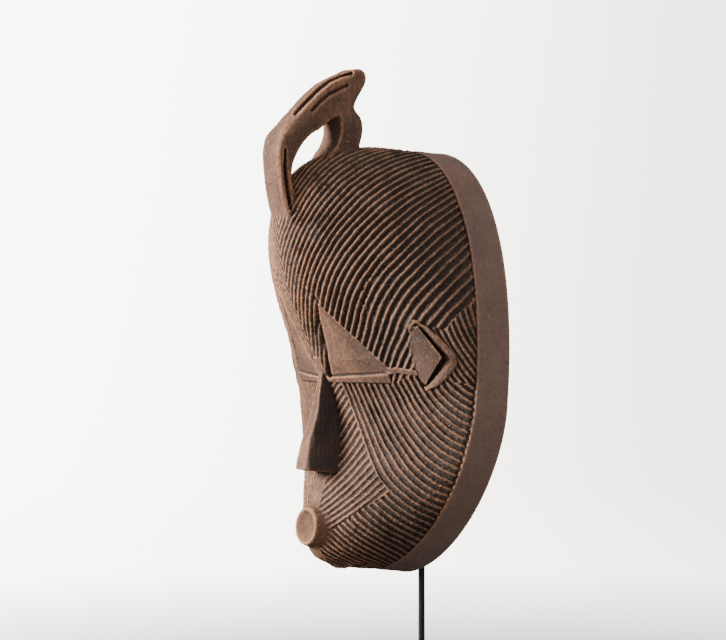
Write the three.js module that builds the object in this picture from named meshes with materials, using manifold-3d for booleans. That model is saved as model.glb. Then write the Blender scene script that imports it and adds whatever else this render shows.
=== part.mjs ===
// Carved wooden mask with a fin-like crest, hung on a black steel gallery stand.
// Millimetres, +Z up. The mask faces -Y and the origin is under the stand's turning axis.
import * as THREE from 'three';
import { ConvexGeometry } from 'three/addons/geometries/ConvexGeometry.js';
import { mergeVertices } from 'three/addons/utils/BufferGeometryUtils.js';
import Module from 'manifold-3d';

const wasm = await Module();
wasm.setup();

// ---------------------------------------------------------------- driving dimensions

const GAP = 0.3; // clearance between pieces that rest on each other

// mask, in its own frame: x across, y from the back plane (0) forwards (-), z up from the foot
const MASK = {
  height: 380,
  halfWidth: 134.5,
  widestAt: 149, // height where the outline is widest
  topRoundness: 2.2, // superellipse exponents of the outline above and below the widest line
  footRoundness: 1.7,
  band: 34.5, // depth of the smooth band behind the face
  flare: 1.8, // how far the back edge stands outside the band's front edge
  wall: 14,
  lean: 4.8, // degrees that the back plane leans backwards
};
const MASK_FOOT = { y: -18, z: 112 }; // where the foot of the back plane hangs

// rise of the face above the band along the middle: [height, rise before the ends round off]
const FACE_RISE = [
  [0, 139], [20, 106], [45, 89], [75, 74], [110, 58], [150, 61],
  [190, 83], [230, 108], [270, 127], [310, 142], [345, 149], [380, 151],
];
// how full the face is from side to side: 2 is an ellipse, less is a peaked section
const FACE_FULLNESS = [
  [0, 2.0], [35, 1.55], [80, 1.3], [125, 1.31], [170, 1.4], [215, 1.48], [260, 1.6], [310, 1.67], [380, 1.7],
];

const NOSE = { top: 173, foot: 86, bridgeHalf: 3, frontHalf: 8, footHalf: 21, bridgeDepth: 108, tipDepth: 122 };
const MOUTH = { z: 35.5, radius: 16, rootFlare: 6, depth: 111, dish: 4 };
const EAR = { x: 103, z: 180, halfTall: 26, halfWide: 13, proud: 9, root: 16 };

const CREST = { thickness: 30, bevel: 3 };
// side view of the crest as [depth, height], from its front foot over the tip to the rear foot
const CREST_OUTLINE = [
  [144, 296], [161, 316], [169, 333], [173, 350], [174.5, 364], [172.5, 377], [165.5, 389], [154, 407],
  [132, 428], [108, 440], [95, 444.5], [90, 442.5], [93, 434], [101, 411.5], [93.5, 404], [91.5, 396],
  [93.5, 386], [97, 375], [97, 345],
];
const WINDOW = [
  [150, 318], [160, 334], [161, 348], [158, 360], [153, 370], [145, 379.5], [136, 386], [117, 400],
  [114.5, 390], [117, 376], [124, 364], [124, 340],
];

// stand
const FELT = { size: 194, thickness: 2 };
const PLATE = { size: 200, thickness: 8, corner: 6, centreY: -50, bevel: 1 };
const COLLAR = { radius: 13, height: 28, boreFloor: 3 };
const COLLAR_SCREW = { circle: 8.5, headRadius: 2.6, headHeight: 2.4, shankRadius: 1.5, length: 11, count: 3 };
const THUMB = { shankRadius: 2.5, knobRadius: 8, knobLength: 9, aboveCollarFoot: 17, knurls: 24 };
const WASHER = { radius: 6.5, thickness: 1.2 };
const POST = { radius: 3, stepDown: 60, bend: 8 };
const PRONG = { x: 62, radius: 2.5, length: 40, bend: 8, behind: 4, sleeveRadius: 4.6, sleeveLength: 26 };
const STAND_OFF = { z: 26, radius: 2, padRadius: 5, padThickness: 3 };

const PLATE_Z = FELT.thickness + GAP;
const COLLAR_Z = PLATE_Z + PLATE.thickness + GAP;
const POST_Z = COLLAR_Z + COLLAR.boreFloor + GAP;
const THUMB_Z = COLLAR_Z + THUMB.aboveCollarFoot;

// ---------------------------------------------------------------- booleans

function toManifold(geometry) {
  const bare = geometry.clone();
  bare.deleteAttribute('normal');
  bare.deleteAttribute('uv');
  const welded = mergeVertices(bare, 1e-4);
  const mesh = new wasm.Mesh({
    numProp: 3,
    vertProperties: new Float32Array(welded.attributes.position.array),
    triVerts: new Uint32Array(welded.index.array),
  });
  mesh.merge();
  return new wasm.Manifold(mesh);
}

function toGeometry(manifold) {
  const mesh = manifold.getMesh();
  const geometry = new THREE.BufferGeometry();
  geometry.setAttribute('position', new THREE.BufferAttribute(mesh.vertProperties, 3));
  geometry.setIndex(new THREE.BufferAttribute(mesh.triVerts, 1));
  geometry.computeVertexNormals();
  return geometry;
}

// ---------------------------------------------------------------- curves of the mask

// smooth curve through knots of [place, value]
function through(knots, at) {
  const last = knots.length - 1;
  const place = Math.min(Math.max(at, knots[0][0]), knots[last][0]);
  let i = 0;
  while (i < last - 1 && place > knots[i + 1][0]) i += 1;
  const slope = (k) => (knots[k + 1][1] - knots[k][1]) / (knots[k + 1][0] - knots[k][0]);
  const tangent = (k) => {
    if (k === 0) return slope(0);
    if (k === last) return slope(last - 1);
    const before = knots[k][0] - knots[k - 1][0];
    const after = knots[k + 1][0] - knots[k][0];
    return (slope(k - 1) * after + slope(k) * before) / (before + after);
  };
  const span = knots[i + 1][0] - knots[i][0];
  const t = (place - knots[i][0]) / span;
  const a = knots[i][1];
  const b = knots[i + 1][1];
  return a * (2 * t ** 3 - 3 * t ** 2 + 1) + b * (3 * t ** 2 - 2 * t ** 3)
    + span * (tangent(i) * (t ** 3 - 2 * t ** 2 + t) + tangent(i + 1) * (t ** 3 - t ** 2));
}

// point of the outline, t = 0 at the side, +90 degrees at the top
function outline(angle, grow) {
  const up = Math.sin(angle) >= 0;
  const power = 2 / (up ? MASK.topRoundness : MASK.footRoundness);
  const reach = up ? MASK.height - MASK.widestAt + grow : MASK.widestAt + grow;
  const across = Math.sign(Math.cos(angle)) * Math.abs(Math.cos(angle)) ** power;
  const along = Math.sign(Math.sin(angle)) * Math.abs(Math.sin(angle)) ** power;
  return [(MASK.halfWidth + grow) * across, MASK.widestAt + reach * along];
}

function halfWidthAt(z) {
  const up = z >= MASK.widestAt;
  const reach = up ? MASK.height - MASK.widestAt : MASK.widestAt;
  const power = up ? MASK.topRoundness : MASK.footRoundness;
  const t = Math.min(Math.abs(z - MASK.widestAt) / reach, 1);
  return MASK.halfWidth * (1 - t ** power) ** (1 / power);
}

function faceDepth(x, z) {
  const middle = MASK.height / 2;
  const off = Math.min(Math.abs(z - middle) / middle, 1);
  const rise = through(FACE_RISE, z) * (1 - off ** 3) ** (1 / 3);
  const fullness = through(FACE_FULLNESS, z);
  const share = Math.min(Math.abs(x) / Math.max(halfWidthAt(z), 1e-6), 1);
  return MASK.band + rise * (1 - share ** fullness) ** (1 / fullness);
}

// ---------------------------------------------------------------- the mask's solids

// A sphere whose rings become the dome of the face, the band and the flat back.
function shell(columns, rings, inset, backY) {
  const geometry = new THREE.SphereGeometry(1, columns, rings + 2);
  const position = geometry.attributes.position;
  for (let row = 0; row <= rings + 2; row += 1) {
    for (let column = 0; column <= columns; column += 1) {
      const angle = (2 * Math.PI * (column % columns)) / columns;
      const share = row <= rings ? Math.sin((row / rings) * (Math.PI / 2)) : 1;
      const [rimX, rimZ] = outline(angle, row > rings ? MASK.flare : 0);
      const scaleX = (MASK.halfWidth - inset) / MASK.halfWidth;
      const scaleZ = (MASK.height / 2 - inset) / (MASK.height / 2);
      let x = rimX * share;
      let z = MASK.widestAt + (rimZ - MASK.widestAt) * share;
      let y = -Math.max(faceDepth(x, z) - inset, MASK.band - inset);
      if (row > rings) y = backY;
      if (row === rings + 2) {
        x = 0;
        z = MASK.widestAt;
      }
      x *= scaleX;
      z = MASK.height / 2 + (z - MASK.height / 2) * scaleZ;
      position.setXYZ(row * (columns + 1) + column, x, y, z);
    }
  }
  const solid = toManifold(geometry);
  if (solid.volume() > 0) return solid;
  geometry.index.array.reverse();
  return toManifold(geometry);
}

// an outline drawn as (-depth, height), stood up across the mask's middle
function acrossMiddle(shape, width, bevel) {
  const geometry = new THREE.ExtrudeGeometry(shape, {
    depth: width - 2 * bevel,
    curveSegments: 6,
    bevelEnabled: bevel > 0,
    bevelThickness: bevel,
    bevelSize: bevel,
    bevelOffset: -bevel,
    bevelSegments: 2,
  });
  geometry.translate(0, 0, bevel - width / 2);
  geometry.applyMatrix4(new THREE.Matrix4().makeBasis(
    new THREE.Vector3(0, 1, 0), new THREE.Vector3(0, 0, 1), new THREE.Vector3(1, 0, 0),
  ));
  return toManifold(geometry);
}

function smoothOutline(corners, segments) {
  const points = corners.map(([depth, z]) => new THREE.Vector3(-depth, z, 0));
  const curve = new THREE.CatmullRomCurve3(points, true, 'centripetal');
  const around = curve.getSpacedPoints(segments).slice(0, -1);
  return new THREE.Shape(around.map((point) => new THREE.Vector2(point.x, point.y)));
}

function crest() {
  const fin = acrossMiddle(smoothOutline(CREST_OUTLINE, 48), CREST.thickness, CREST.bevel);
  const window = acrossMiddle(smoothOutline(WINDOW, 28), CREST.thickness + 20, 0);
  return fin.subtract(window);
}

function nose() {
  const buried = 60;
  const { top, foot, bridgeHalf, frontHalf, footHalf, bridgeDepth, tipDepth } = NOSE;
  const points = [-1, 1].flatMap((side) => [
    new THREE.Vector3(side * 2 * bridgeHalf, -buried, top),
    new THREE.Vector3(side * bridgeHalf, -bridgeDepth, top),
    new THREE.Vector3(side * footHalf, -buried, foot),
    new THREE.Vector3(side * footHalf, 25 - tipDepth, foot),
    new THREE.Vector3(side * frontHalf, -tipDepth, foot + 6),
    new THREE.Vector3(side * frontHalf, 4 - tipDepth, foot),
  ]);
  return toManifold(new ConvexGeometry(points));
}

// a short spout, wider at its root, with a shallow dish in its end
function mouth() {
  const length = 30;
  const spout = new THREE.CylinderGeometry(MOUTH.radius, MOUTH.radius + MOUTH.rootFlare, length, 32);
  spout.rotateX(Math.PI);
  spout.translate(0, length / 2 - MOUTH.depth, MOUTH.z);
  const dish = new THREE.SphereGeometry(MOUTH.radius - 2.5, 24, 12);
  dish.scale(1, MOUTH.dish / MOUTH.radius, 1);
  dish.translate(0, -MOUTH.depth, MOUTH.z);
  return toManifold(spout).subtract(toManifold(dish));
}

// a long lozenge that stands off the temple and narrows towards its buried root
function ear(side) {
  const { halfTall, halfWide, proud, root } = EAR;
  const tongue = new ConvexGeometry([
    new THREE.Vector3(0, -proud, halfTall),
    new THREE.Vector3(0, -proud, -halfTall),
    new THREE.Vector3(halfWide, -proud * 0.6, 0),
    new THREE.Vector3(-halfWide * 0.6, -proud * 1.6, 0),
    new THREE.Vector3(0, root, halfTall * 0.8),
    new THREE.Vector3(0, root, -halfTall * 0.8),
    new THREE.Vector3(halfWide * 0.8, root, 0),
    new THREE.Vector3(-halfWide * 0.8, root, 0),
  ]);
  tongue.translate(EAR.x, -faceDepth(EAR.x, EAR.z), EAR.z);
  const solid = toManifold(tongue);
  return side < 0 ? solid.mirror([1, 0, 0]) : solid;
}

function maskGeometry() {
  const hollow = shell(48, 16, MASK.wall, 10);
  const face = shell(72, 26, 0, 0).add(crest()).add(nose()).add(mouth()).add(ear(1)).add(ear(-1));
  return toGeometry(face.subtract(hollow));
}

// ---------------------------------------------------------------- the stand's solids

function upright(radius, length, segments = 24) {
  const geometry = new THREE.CylinderGeometry(radius, radius, length, segments);
  geometry.rotateX(Math.PI / 2);
  geometry.translate(0, 0, length / 2);
  return geometry;
}

// the same triangles, wound the other way
function flipped(geometry) {
  const bare = geometry.index ? geometry.toNonIndexed() : geometry.clone();
  const position = bare.attributes.position;
  for (let i = 0; i < position.count; i += 3) {
    const [bx, by, bz] = [position.getX(i + 1), position.getY(i + 1), position.getZ(i + 1)];
    position.setXYZ(i + 1, position.getX(i + 2), position.getY(i + 2), position.getZ(i + 2));
    position.setXYZ(i + 2, bx, by, bz);
  }
  return bare;
}

function turned(profile, segments = 32) {
  const geometry = new THREE.LatheGeometry(profile.map(([r, z]) => new THREE.Vector2(r, z)), segments);
  geometry.rotateX(Math.PI / 2);
  return toManifold(geometry).volume() > 0 ? geometry : flipped(geometry);
}

function roundedSquare(size, corner) {
  const half = size / 2;
  const shape = new THREE.Shape();
  shape.moveTo(half, corner - half);
  shape.absarc(half - corner, half - corner, corner, 0, Math.PI / 2);
  shape.absarc(corner - half, half - corner, corner, Math.PI / 2, Math.PI);
  shape.absarc(corner - half, corner - half, corner, Math.PI, 1.5 * Math.PI);
  shape.absarc(half - corner, corner - half, corner, 1.5 * Math.PI, 2 * Math.PI);
  return shape;
}

function screwPlaces() {
  return Array.from({ length: COLLAR_SCREW.count }, (_, i) => {
    const angle = (2 * Math.PI * i) / COLLAR_SCREW.count + Math.PI / 6;
    return [COLLAR_SCREW.circle * Math.cos(angle), COLLAR_SCREW.circle * Math.sin(angle)];
  });
}

// the screw's own outline, or the hole for it when it is grown by the gap
function collarScrew(grow) {
  return turned([
    [0, -grow],
    [COLLAR_SCREW.headRadius + grow, -grow],
    [COLLAR_SCREW.headRadius + grow, COLLAR_SCREW.headHeight + grow],
    [COLLAR_SCREW.shankRadius + grow, COLLAR_SCREW.headHeight + grow],
    [COLLAR_SCREW.shankRadius + grow, COLLAR_SCREW.length + grow],
    [0, COLLAR_SCREW.length + grow],
  ], 20);
}

function plateGeometry() {
  const geometry = new THREE.ExtrudeGeometry(roundedSquare(PLATE.size, PLATE.corner), {
    depth: PLATE.thickness - 2 * PLATE.bevel,
    curveSegments: 6,
    bevelThickness: PLATE.bevel,
    bevelSize: PLATE.bevel,
    bevelOffset: -PLATE.bevel,
    bevelSegments: 2,
  });
  geometry.translate(0, PLATE.centreY, PLATE_Z + PLATE.bevel);
  let plate = toManifold(geometry);
  for (const [x, y] of screwPlaces()) {
    const hole = collarScrew(GAP);
    hole.translate(x, y, PLATE_Z);
    plate = plate.subtract(toManifold(hole));
  }
  return toGeometry(plate);
}

function collarGeometry() {
  const bore = POST.radius + GAP;
  const body = turned([
    [0, 0],
    [COLLAR.radius, 0],
    [COLLAR.radius, COLLAR.height - 2],
    [COLLAR.radius - 2, COLLAR.height],
    [bore, COLLAR.height],
    [bore, COLLAR.boreFloor],
    [0, COLLAR.boreFloor],
  ], 40);
  let collar = toManifold(body);
  for (const [x, y] of screwPlaces()) {
    const hole = collarScrew(GAP);
    hole.translate(x, y, PLATE_Z - COLLAR_Z);
    collar = collar.subtract(toManifold(hole));
  }
  const crossHole = upright(THUMB.shankRadius + GAP, COLLAR.radius + 2);
  crossHole.rotateX(-Math.PI / 2);
  crossHole.translate(0, 0, THUMB.aboveCollarFoot);
  return toGeometry(collar.subtract(toManifold(crossHole)));
}

function thumbScrewGeometry() {
  const knob = new THREE.Shape();
  const turn = (2 * Math.PI) / THUMB.knurls;
  for (let i = 0; i < THUMB.knurls; i += 1) {
    const crestPoint = [THUMB.knobRadius * Math.cos(i * turn), THUMB.knobRadius * Math.sin(i * turn)];
    const root = THUMB.knobRadius - 0.7;
    const rootPoint = [root * Math.cos((i + 0.5) * turn), root * Math.sin((i + 0.5) * turn)];
    if (i === 0) knob.moveTo(...crestPoint);
    else knob.lineTo(...crestPoint);
    knob.lineTo(...rootPoint);
  }
  knob.closePath();
  const head = new THREE.ExtrudeGeometry(knob, {
    depth: THUMB.knobLength - 2, bevelThickness: 1, bevelSize: 1, bevelOffset: -1, bevelSegments: 1,
  });
  const knobStart = COLLAR.radius + WASHER.thickness + 2 * GAP;
  head.translate(0, 0, knobStart + 1);
  const shankStart = POST.radius + GAP;
  const shank = upright(THUMB.shankRadius, knobStart + 2 - shankStart);
  shank.translate(0, 0, shankStart);
  const screw = toGeometry(toManifold(head).add(toManifold(shank)));
  screw.rotateX(-Math.PI / 2); // the screw's axis becomes +Y
  return screw;
}

function washerGeometry() {
  const hole = THUMB.shankRadius + GAP;
  const washer = turned([
    [hole, 0], [WASHER.radius, 0], [WASHER.radius, WASHER.thickness], [hole, WASHER.thickness], [hole, 0],
  ]);
  washer.translate(0, 0, COLLAR.radius + GAP);
  washer.rotateX(-Math.PI / 2);
  return washer;
}

// a round rod through the points, straight between them and bent at each corner
function bentRod(points, radius, bend, steps) {
  const path = new THREE.CurvePath();
  let from = points[0];
  for (let i = 1; i < points.length - 1; i += 1) {
    const before = points[i].clone().addScaledVector(points[i - 1].clone().sub(points[i]).normalize(), bend);
    const after = points[i].clone().addScaledVector(points[i + 1].clone().sub(points[i]).normalize(), bend);
    path.add(new THREE.LineCurve3(from, before));
    path.add(new THREE.QuadraticBezierCurve3(before, points[i], after));
    from = after;
  }
  path.add(new THREE.LineCurve3(from, points[points.length - 1]));
  const section = new THREE.Shape();
  section.absarc(0, 0, radius, 0, 2 * Math.PI);
  return new THREE.ExtrudeGeometry(section, { steps, curveSegments: 6, extrudePath: path, bevelEnabled: false });
}

// ---------------------------------------------------------------- where the mask meets the stand

const lean = THREE.MathUtils.degToRad(MASK.lean);
const upAxis = new THREE.Vector3(0, Math.sin(lean), Math.cos(lean));
const forwardAxis = new THREE.Vector3(0, -Math.cos(lean), Math.sin(lean));

// a point of the mask's own frame, in the object's frame
function place(x, forward, z) {
  return new THREE.Vector3(x, MASK_FOOT.y, MASK_FOOT.z)
    .addScaledVector(upAxis, z)
    .addScaledVector(forwardAxis, forward);
}

// height of the hollow's ceiling above a place x, in the mask's own frame
function ceilingAt(x) {
  const half = MASK.halfWidth - MASK.wall;
  const share = (1 - (x / half) ** MASK.topRoundness) ** (1 / MASK.topRoundness);
  const z = MASK.widestAt + (MASK.height - MASK.widestAt) * share;
  const scale = (MASK.height / 2 - MASK.wall) / (MASK.height / 2);
  return MASK.height / 2 + (z - MASK.height / 2) * scale;
}

// the sleeve's outer side touches the ceiling, which slopes down outwards
const prongZ = ceilingAt(PRONG.x + PRONG.sleeveRadius) - PRONG.sleeveRadius - GAP;
const prongRoot = place(PRONG.x, -PRONG.behind, prongZ);
const postTop = prongRoot.z;

function hangerGeometry() {
  const points = [-1, 1].map((side) => {
    const root = new THREE.Vector3(side * PRONG.x, prongRoot.y, prongRoot.z);
    const tip = root.clone().addScaledVector(forwardAxis, PRONG.length);
    return side < 0 ? [tip, root] : [root, tip];
  });
  return bentRod(points.flat(), PRONG.radius, PRONG.bend, 56);
}

// the rod steps behind the hanger bar with a shallow double bend
function postGeometry() {
  const clear = POST.radius + PRONG.radius + GAP;
  const points = [
    new THREE.Vector3(0, 0, POST_Z),
    new THREE.Vector3(0, 0, postTop - POST.stepDown),
    new THREE.Vector3(0, prongRoot.y + clear, postTop - POST.stepDown / 3),
    new THREE.Vector3(0, prongRoot.y + clear, postTop + POST.radius + 2),
  ];
  return bentRod(points, POST.radius, POST.bend, 70);
}

function sleeveGeometry(side) {
  const hole = PRONG.radius + GAP;
  const sleeve = turned([
    [hole, 0],
    [PRONG.sleeveRadius, 0],
    [PRONG.sleeveRadius, PRONG.sleeveLength - 1.5],
    [PRONG.sleeveRadius - 1.5, PRONG.sleeveLength],
    [hole, PRONG.sleeveLength],
    [hole, 0],
  ], 24);
  // the sleeve's axis becomes the prong's own direction
  sleeve.rotateX(Math.PI / 2 - lean);
  const start = new THREE.Vector3(side * PRONG.x, prongRoot.y, prongRoot.z)
    .addScaledVector(forwardAxis, PRONG.length - PRONG.sleeveLength + 3);
  sleeve.translate(start.x, start.y, start.z);
  return sleeve;
}

const rimBack = place(0, 0, STAND_OFF.z);
// the back plane leans, so across the pad it comes this much closer
const padLean = STAND_OFF.padRadius * Math.tan(lean);
const padBack = rimBack.y + GAP + padLean + STAND_OFF.padThickness;

function standOffPadGeometry() {
  const pad = upright(STAND_OFF.padRadius, STAND_OFF.padThickness, 28);
  pad.rotateX(Math.PI / 2);
  pad.translate(0, padBack, rimBack.z);
  return pad;
}

function standOffGeometry() {
  const reach = -POST.radius - GAP - (padBack + GAP);
  const peg = upright(STAND_OFF.radius, reach, 20);
  peg.rotateX(Math.PI / 2);
  peg.translate(0, -POST.radius - GAP, rimBack.z);
  return peg;
}

// ---------------------------------------------------------------- the assembly

const finish = {
  carvedWood: { color: '#64493f', roughness: 0.82, metalness: 0 },
  blackSteel: { color: '#1b1b1c', roughness: 0.5, metalness: 0.6 },
  zincSteel: { color: '#9a9a98', roughness: 0.4, metalness: 0.9 },
  felt: { color: '#26282a', roughness: 1, metalness: 0 },
  nylon: { color: '#d8d4c8', roughness: 0.6, metalness: 0 },
  sleeve: { color: '#2b2a29', roughness: 0.75, metalness: 0 },
};

const stand = new THREE.Group();

function addPiece(name, geometry, look, parent = stand) {
  const mesh = new THREE.Mesh(geometry, new THREE.MeshStandardMaterial(look));
  mesh.name = name;
  parent.add(mesh);
  return mesh;
}

const maskFrame = new THREE.Group();
maskFrame.position.set(0, MASK_FOOT.y, MASK_FOOT.z);
maskFrame.rotation.x = -lean;
stand.add(maskFrame);
addPiece('mask', maskGeometry(), finish.carvedWood, maskFrame);

const felt = new THREE.ExtrudeGeometry(roundedSquare(FELT.size, PLATE.corner), {
  depth: FELT.thickness, curveSegments: 6, bevelEnabled: false,
});
addPiece('felt_sheet', felt, finish.felt).position.set(0, PLATE.centreY, 0);
addPiece('base_plate', plateGeometry(), finish.blackSteel);
addPiece('post_collar', collarGeometry(), finish.blackSteel).position.set(0, 0, COLLAR_Z);
screwPlaces().forEach(([x, y], i) => {
  addPiece(`collar_screw_${i + 1}`, collarScrew(0), finish.zincSteel).position.set(x, y, PLATE_Z + GAP);
});
addPiece('thumb_screw', thumbScrewGeometry(), finish.zincSteel).position.set(0, 0, THUMB_Z);
addPiece('thumb_washer', washerGeometry(), finish.nylon).position.set(0, 0, THUMB_Z);
addPiece('post', postGeometry(), finish.blackSteel);
addPiece('hanger_bar', hangerGeometry(), finish.blackSteel);
addPiece('sleeve_right', sleeveGeometry(1), finish.sleeve);
addPiece('sleeve_left', sleeveGeometry(-1), finish.sleeve);
addPiece('stand_off_peg', standOffGeometry(), finish.blackSteel);
addPiece('stand_off_pad', standOffPadGeometry(), finish.felt);

export default stand;
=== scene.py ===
import math

import bmesh
import bpy
import numpy as np
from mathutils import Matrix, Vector


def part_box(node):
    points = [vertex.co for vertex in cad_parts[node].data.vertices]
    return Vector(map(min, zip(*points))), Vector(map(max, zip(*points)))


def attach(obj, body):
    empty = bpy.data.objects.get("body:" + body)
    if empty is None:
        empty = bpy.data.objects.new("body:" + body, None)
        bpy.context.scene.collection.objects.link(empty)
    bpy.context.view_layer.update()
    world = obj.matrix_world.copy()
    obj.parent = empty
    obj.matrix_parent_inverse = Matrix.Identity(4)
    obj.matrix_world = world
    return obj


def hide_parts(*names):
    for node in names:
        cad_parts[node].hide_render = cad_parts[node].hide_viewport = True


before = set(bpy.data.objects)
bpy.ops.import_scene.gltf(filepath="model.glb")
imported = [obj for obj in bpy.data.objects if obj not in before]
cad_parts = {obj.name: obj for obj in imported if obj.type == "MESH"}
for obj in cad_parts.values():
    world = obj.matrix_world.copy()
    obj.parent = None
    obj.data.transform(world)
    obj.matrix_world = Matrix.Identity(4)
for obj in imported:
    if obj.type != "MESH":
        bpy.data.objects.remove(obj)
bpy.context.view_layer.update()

# ---------------------------------------------------------------- dimensions, in mm, in the mask's own frame
# x is across, d forwards from the back plane and z up from the foot. The CAD model has the same body, and a
# plainer crest, nose and mouth.

HEIGHT, HALF_WIDTH, WIDEST = 380.0, 134.5, 149.0    # WIDEST is the height of the widest line
TOP_ROUND, FOOT_ROUND = 2.2, 1.7                    # superellipse exponents above and below it
BAND, FLARE, WALL = 34.5, 1.8, 14.0                 # depth of the smooth band, its flare, the wall
LEAN = math.radians(4.8)                            # of the back plane, backwards
FOOT_Y, FOOT_Z = -18.0, 112.0                       # where the foot of the back plane hangs
# rise of the face above the band and its fullness from side to side, at each height
FACE_RISE = [(0, 139), (20, 106), (45, 89), (75, 74), (110, 58), (150, 61),
             (190, 83), (230, 108), (270, 127), (310, 142), (345, 149), (380, 151)]
FACE_FULLNESS = [(0, 2.0), (35, 1.55), (80, 1.3), (125, 1.31), (170, 1.4), (215, 1.48), (260, 1.6),
                 (310, 1.67), (380, 1.7)]
NOSE_TOP, NOSE_FOOT = 173.0, 84.5
# the nose at each height: depth of its ridge, half its front's width, half its root's width, depth of its
# root, each as (z, value)
NOSE = ([(80, 123.5), (88, 123), (110, 119.5), (137, 112), (156, 109.5), (180, 107)],
        [(80, 11), (110, 8.5), (137, 6), (156, 4.5), (180, 2.5)],
        [(80, 17.5), (90, 15.5), (100, 12.5), (110, 10.5), (122, 8), (140, 6), (180, 3)],
        [(80, 97), (110, 90), (137, 93), (156, 96), (180, 100)])
MOUTH_Z, MOUTH_R, MOUTH_DEPTH, MOUTH_DISH = 35.5, 17.0, 113.0, 4.0
CREST_HALF = 15.0
# side views of the crest, its window, the slot in its front strap and the grooves near its tip, as (d, z)
CREST = [(144, 285), (161, 303), (167, 316), (172, 333), (175.5, 350), (177, 364), (174.5, 377), (166.5, 389),
         (154, 407), (132, 428.5), (108, 441.5), (96, 446), (90, 444), (87.5, 437.5), (89, 428), (93, 418.5),
         (95, 411), (88.5, 404), (86, 396), (87.5, 386), (91.5, 375), (92, 345)]
WINDOW = [(150, 318), (160, 334), (161, 348), (158, 360), (153, 370), (145, 379.5), (136, 386), (117, 400),
          (114.5, 390), (117, 376), (124, 364), (124, 340)]
SLOT_LINE = [(157, 306), (161.5, 316), (166, 332), (169.4, 348), (170.5, 364)]
SLOT_RADIUS, SLOT_DEPTH = 1.9, 11.5
LONG_FINGER = [(97, 440), (108, 436.5), (120, 430.5), (132, 421), (144, 408), (153, 398)]
SHORT_FINGER = [(101, 429), (118.5, 419.5), (127, 412), (136, 402)]
FINGER_SLANT, FINGER_DEPTH, FINGER_RADIUS = 0.69, 3.0, 1.9

CELL = 1.0          # grid of the carved mask's mesh
RNG = np.random.default_rng(7)


# ---------------------------------------------------------------- small maths

def through(knots, x):
    """Smooth curve through knots, the same one as in the CAD model."""
    xs, ys = np.array(knots, float).T
    slope, h = np.diff(ys) / np.diff(xs), np.diff(xs)
    m = np.empty(len(xs))
    m[0], m[-1] = slope[0], slope[-1]
    m[1:-1] = (slope[:-1] * h[1:] + slope[1:] * h[:-1]) / (h[:-1] + h[1:])
    x = np.clip(x, xs[0], xs[-1])
    i = np.clip(np.searchsorted(xs, x, side="right") - 1, 0, len(xs) - 2)
    t = (x - xs[i]) / h[i]
    return ((2 * t**3 - 3 * t**2 + 1) * ys[i] + (t**3 - 2 * t**2 + t) * h[i] * m[i]
            + (3 * t**2 - 2 * t**3) * ys[i + 1] + (t**3 - t**2) * h[i] * m[i + 1])


def step(x, a, b):
    """0 up to a, 1 from b on, and smooth between them."""
    t = np.clip((x - a) / (b - a), 0, 1)
    return t * t * (3 - 2 * t)


def smooth_max(a, b, k):
    t = np.clip(0.5 + 0.5 * (a - b) / k, 0, 1)
    return a * t + b * (1 - t) + k * t * (1 - t)


def smooth_min(a, b, k):
    return -smooth_max(-a, -b, k)


LATTICE = RNG.random((32, 32, 32)).astype(np.float32) * 2 - 1


def noise(x, y, z, size):
    """Value noise from -1 to 1 with cells of the given size."""
    p = [np.asarray(v) / size + o for v, o in ((x, 7.3), (y, 3.1), (z, 11.7))]
    i = [np.floor(v).astype(int) for v in p]
    f = [v - w for v, w in zip(p, i)]
    f = [v * v * (3 - 2 * v) for v in f]
    total = 0
    for a in (0, 1):
        for b in (0, 1):
            for c in (0, 1):
                w = (f[0] if a else 1 - f[0]) * (f[1] if b else 1 - f[1]) * (f[2] if c else 1 - f[2])
                total = total + w * LATTICE[(i[0] + a) % 32, (i[1] + b) % 32, (i[2] + c) % 32]
    return total


def closed_curve(corners, steps):
    """Centripetal Catmull-Rom curve round the corners, as in the CAD model."""
    p = np.array(corners, float)
    out = []
    for k in range(len(p)):
        a, b, c, d = (p[(k + j) % len(p)] for j in (-1, 0, 1, 2))
        t1 = np.linalg.norm(b - a) ** 0.5
        t2 = t1 + np.linalg.norm(c - b) ** 0.5
        t3 = t2 + np.linalg.norm(d - c) ** 0.5
        for t in t1 + (t2 - t1) * np.arange(steps) / steps:
            ab = a + (b - a) * t / t1
            bc = b + (c - b) * (t - t1) / (t2 - t1)
            cd = c + (d - c) * (t - t2) / (t3 - t2)
            abc = ab + (bc - ab) * t / t2
            bcd = bc + (cd - bc) * (t - t1) / (t3 - t1)
            out.append(abc + (bcd - abc) * (t - t1) / (t2 - t1))
    return np.array(out)


def line_distance(u, v, points):
    """Distance to an open line of points."""
    best = np.full(np.shape(u), 1e9)
    for (ax, ay), (bx, by) in zip(points[:-1], points[1:]):
        ex, ey = bx - ax, by - ay
        t = np.clip(((u - ax) * ex + (v - ay) * ey) / (ex * ex + ey * ey), 0, 1)
        best = np.minimum(best, np.hypot(u - ax - t * ex, v - ay - t * ey))
    return best


def polygon_distance(u, v, points):
    """Signed distance to a closed polygon, negative inside."""
    ring = list(points) + [points[0]]
    inside = np.zeros(np.shape(u), bool)
    for (ax, ay), (bx, by) in zip(ring[:-1], ring[1:]):
        if ay != by:
            cross = (ay > v) != (by > v)
            inside ^= cross & (u < (bx - ax) * (v - ay) / (by - ay) + ax)
    return np.where(inside, -1, 1) * line_distance(u, v, ring)


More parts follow.
